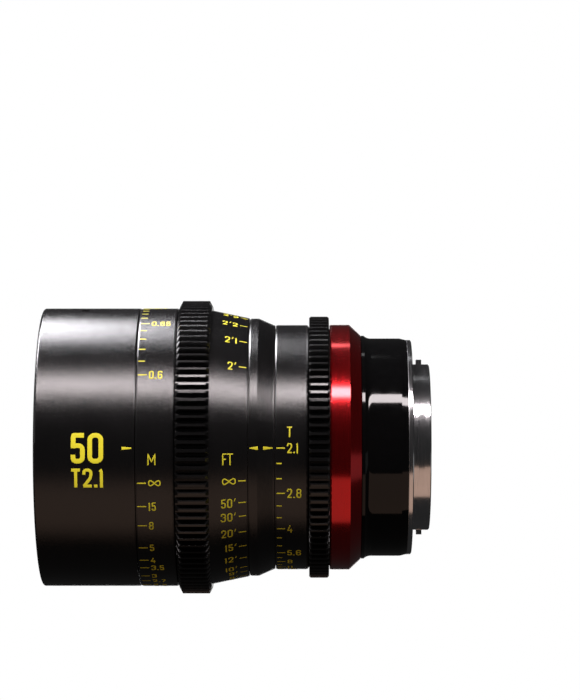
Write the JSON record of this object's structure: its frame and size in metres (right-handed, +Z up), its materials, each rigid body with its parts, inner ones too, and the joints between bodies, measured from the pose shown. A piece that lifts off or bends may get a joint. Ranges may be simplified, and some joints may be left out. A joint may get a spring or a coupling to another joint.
{
  "type": "cinema prime lens",
  "caption": "Prime lens for a cinema camera: black barrel with geared focus and iris rings, engraved scales, a red trim ring and a bayonet mount.",
  "frame": {"origin": "centre of the mount's flange face on the optical axis", "axes": "+X along the optical axis towards the camera (the front of the lens is at -X), +Z up, index marks facing -Y"},
  "size_m": [0.1176, 0.0896, 0.0896],
  "materials": {
    "satin_black": "satin black anodised",
    "gear_black": "black anodised teeth",
    "red_anodised": "glossy red anodised",
    "gloss_black": "gloss black",
    "chrome": "bright plated",
    "steel": "machined steel",
    "brass": "machined brass",
    "slip_plastic": "dark slip plastic",
    "iris_black": "matt black blade coating",
    "baffle_black": "matt black",
    "scale_paint": "engraved marks filled with yellow paint",
    "glass": "coated optical glass"
  },
  "bodies": {
    "barrel": {"front_barrel": "satin_black", "front_set_screws": "steel", "front_baffle": "baffle_black", "guide_barrel": "satin_black", "index_ring": "satin_black", "red_ring": "red_anodised", "rear_barrel": "gloss_black", "mount_shim": "steel", "mount_ring": "chrome", "mount_screws": "steel", "rear_baffle": "baffle_black", "focus_slip_rings": "slip_plastic", "iris_slip_rings": "slip_plastic", "focus_stop_pin": "steel"},
    "focus": {"metre_ring": "satin_black", "focus_gear": "gear_black", "feet_ring": "satin_black", "focus_cam_sleeve": "brass", "focus_screws": "steel"},
    "block": {"block_tube": "baffle_black", "cam_rollers": "brass", "roller_pins": "steel", "front_cell": "baffle_black", "front_bezel": "satin_black", "main_cell": "baffle_black", "glass_element_1": "glass", "glass_element_2": "glass", "glass_element_3": "glass", "glass_element_4": "glass", "glass_element_5": "glass", "glass_element_6": "glass", "glass_element_7": "glass", "glass_element_8": "glass", "second_retainer": "satin_black", "group_spacer": "satin_black", "front_doublet_retainer": "satin_black", "rear_cell": "baffle_black", "rear_doublet_retainer": "satin_black", "rear_retainer": "satin_black", "iris_base": "iris_black", "iris_cover": "iris_black"},
    "iris_cam": {"iris_cam_ring": "steel", "iris_drive_pin": "steel"},
    "iris_ring": {"iris_scale_ring": "satin_black", "iris_gear": "gear_black"},
    "blade_1": {"iris_blade_1": "iris_black"},
    "blade_2": {"iris_blade_2": "iris_black"},
    "blade_3": {"iris_blade_3": "iris_black"},
    "blade_4": {"iris_blade_4": "iris_black"},
    "blade_5": {"iris_blade_5": "iris_black"},
    "blade_6": {"iris_blade_6": "iris_black"},
    "blade_7": {"iris_blade_7": "iris_black"},
    "blade_8": {"iris_blade_8": "iris_black"},
    "blade_9": {"iris_blade_9": "iris_black"}
  },
  "joints": [
    {"name": "focus_turn", "type": "hinge", "parent": "barrel", "child": "focus", "pos_m": [0, 0, 0], "axis": [-1, 0, 0], "range_deg": [0, 330]},
    {"name": "block_slide", "type": "slide", "parent": "barrel", "child": "block", "axis": [-1, 0, 0], "range_m": [0, 0.00528]},
    {"name": "iris_turn", "type": "hinge", "parent": "barrel", "child": "iris_ring", "pos_m": [0, 0, 0], "axis": [-1, 0, 0], "range_deg": [0, 90]},
    {"name": "iris_cam_turn", "type": "hinge", "parent": "block", "child": "iris_cam", "pos_m": [0, 0, 0], "axis": [-1, 0, 0], "range_deg": [0, 90]},
    {"name": "blade_1_turn", "type": "hinge", "parent": "block", "child": "blade_1", "pos_m": [-0.0295, 0, 0.022], "axis": [-1, 0, 0], "range_deg": [0, 26.5]},
    {"name": "blade_2_turn", "type": "hinge", "parent": "block", "child": "blade_2", "pos_m": [-0.0295, 0.01414, 0.01685], "axis": [-1, 0, 0], "range_deg": [0, 26.5]},
    {"name": "blade_3_turn", "type": "hinge", "parent": "block", "child": "blade_3", "pos_m": [-0.0295, 0.02167, 0.00382], "axis": [-1, 0, 0], "range_deg": [0, 26.5]},
    {"name": "blade_4_turn", "type": "hinge", "parent": "block", "child": "blade_4", "pos_m": [-0.0295, 0.01905, -0.011], "axis": [-1, 0, 0], "range_deg": [0, 26.5]},
    {"name": "blade_5_turn", "type": "hinge", "parent": "block", "child": "blade_5", "pos_m": [-0.0295, 0.00752, -0.02067], "axis": [-1, 0, 0], "range_deg": [0, 26.5]},
    {"name": "blade_6_turn", "type": "hinge", "parent": "block", "child": "blade_6", "pos_m": [-0.0295, -0.00752, -0.02067], "axis": [-1, 0, 0], "range_deg": [0, 26.5]},
    {"name": "blade_7_turn", "type": "hinge", "parent": "block", "child": "blade_7", "pos_m": [-0.0295, -0.01905, -0.011], "axis": [-1, 0, 0], "range_deg": [0, 26.5]},
    {"name": "blade_8_turn", "type": "hinge", "parent": "block", "child": "blade_8", "pos_m": [-0.0295, -0.02167, 0.00382], "axis": [-1, 0, 0], "range_deg": [0, 26.5]},
    {"name": "blade_9_turn", "type": "hinge", "parent": "block", "child": "blade_9", "pos_m": [-0.0295, -0.01414, 0.01685], "axis": [-1, 0, 0], "range_deg": [0, 26.5]}
  ],
  "couplings": [
    {"joint": "block_slide", "follows": "focus_turn", "m_per_rad": 0.00091673},
    {"joint": "iris_cam_turn", "follows": "iris_turn", "ratio": 1},
    {"joint": "blade_1_turn", "follows": "iris_turn", "ratio": 0.29444},
    {"joint": "blade_2_turn", "follows": "iris_turn", "ratio": 0.29444},
    {"joint": "blade_3_turn", "follows": "iris_turn", "ratio": 0.29444},
    {"joint": "blade_4_turn", "follows": "iris_turn", "ratio": 0.29444},
    {"joint": "blade_5_turn", "follows": "iris_turn", "ratio": 0.29444},
    {"joint": "blade_6_turn", "follows": "iris_turn", "ratio": 0.29444},
    {"joint": "blade_7_turn", "follows": "iris_turn", "ratio": 0.29444},
    {"joint": "blade_8_turn", "follows": "iris_turn", "ratio": 0.29444},
    {"joint": "blade_9_turn", "follows": "iris_turn", "ratio": 0.29444}
  ]
}
